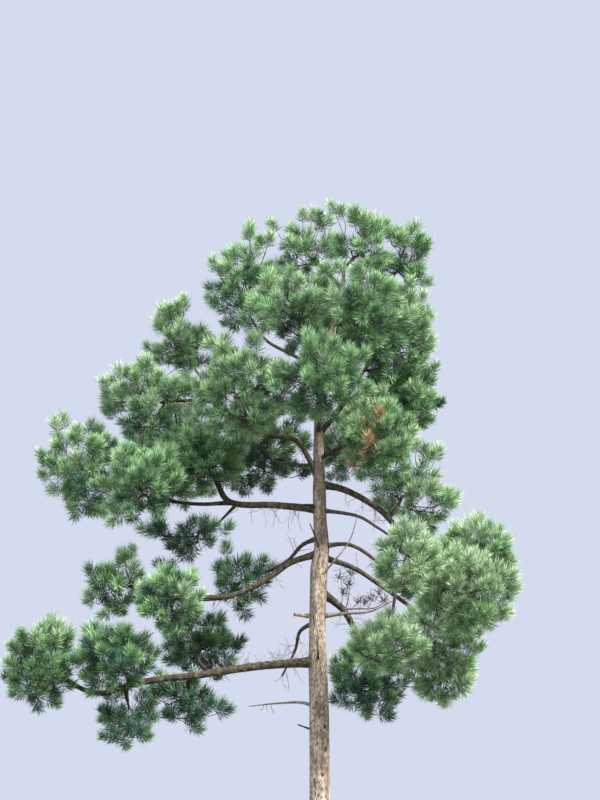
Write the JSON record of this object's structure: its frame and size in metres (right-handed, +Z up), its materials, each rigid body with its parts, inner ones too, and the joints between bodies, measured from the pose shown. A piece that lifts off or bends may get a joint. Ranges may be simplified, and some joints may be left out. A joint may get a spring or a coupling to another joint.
{
  "type": "maritime pine",
  "caption": "Maritime pine rooted in the ground: a tall clear trunk, spreading boughs, dead limbs and an open crown of long needles.",
  "frame": {"origin": "middle of the flat cut under the trunk, at ground level", "axes": "+Z up along the trunk, +X to the right and -Y towards the viewer of the picture"},
  "size_m": [8.7502, 6.2784, 17.74],
  "materials": {
    "bark": "deeply fissured grey-brown bark",
    "dead_wood": "weathered grey dead wood",
    "needles": "stiff green needles with a dull sheen"
  },
  "bodies": {
    "root": {"trunk": "bark", "low_left_bough": "bark", "mid_left_bough": "bark", "mid_left_rear_bough": "bark", "long_left_bough": "bark", "long_left_outer_bough": "bark", "long_left_lower_bough": "bark", "upper_left_bough": "bark", "left_peak_bough": "bark", "top_left_bough": "bark", "upper_right_bough": "bark", "top_right_bough": "bark", "right_arm_bough": "bark", "right_thin_bough": "bark", "right_arch_bough": "bark", "right_lower_bough": "bark", "right_stout_bough": "bark", "back_left_bough": "bark", "back_right_bough": "bark", "front_bough": "bark", "curled_dead_limb": "dead_wood", "pale_dead_limb": "dead_wood", "low_dead_limb": "dead_wood", "low_left_end_needles": "needles", "low_left_upper_needles": "needles", "low_left_hanging_needles": "needles", "low_left_under_needles": "needles", "low_left_back_needles": "needles", "shelf_end_needles": "needles", "shelf_near_needles": "needles", "mid_left_needles": "needles", "long_left_under_needles": "needles", "long_left_end_needles": "needles", "long_left_near_needles": "needles", "long_left_back_needles": "needles", "long_left_inner_needles": "needles", "upper_left_outer_needles": "needles", "left_peak_needles": "needles", "upper_left_near_needles": "needles", "back_left_needles": "needles", "top_left_needles": "needles", "top_near_needles": "needles", "top_middle_needles": "needles", "top_needles": "needles", "top_right_needles": "needles", "top_back_needles": "needles", "right_high_needles": "needles", "right_high_near_needles": "needles", "front_needles": "needles", "right_shoulder_needles": "needles", "right_brown_needles": "needles", "back_right_needles": "needles", "right_arm_upper_needles": "needles", "right_arm_end_needles": "needles", "right_near_needles": "needles", "right_low_needles": "needles", "right_skirt_needles": "needles", "right_dark_needles": "needles", "right_skirt_end_needles": "needles", "right_back_needles": "needles"}
  },
  "joints": []
}
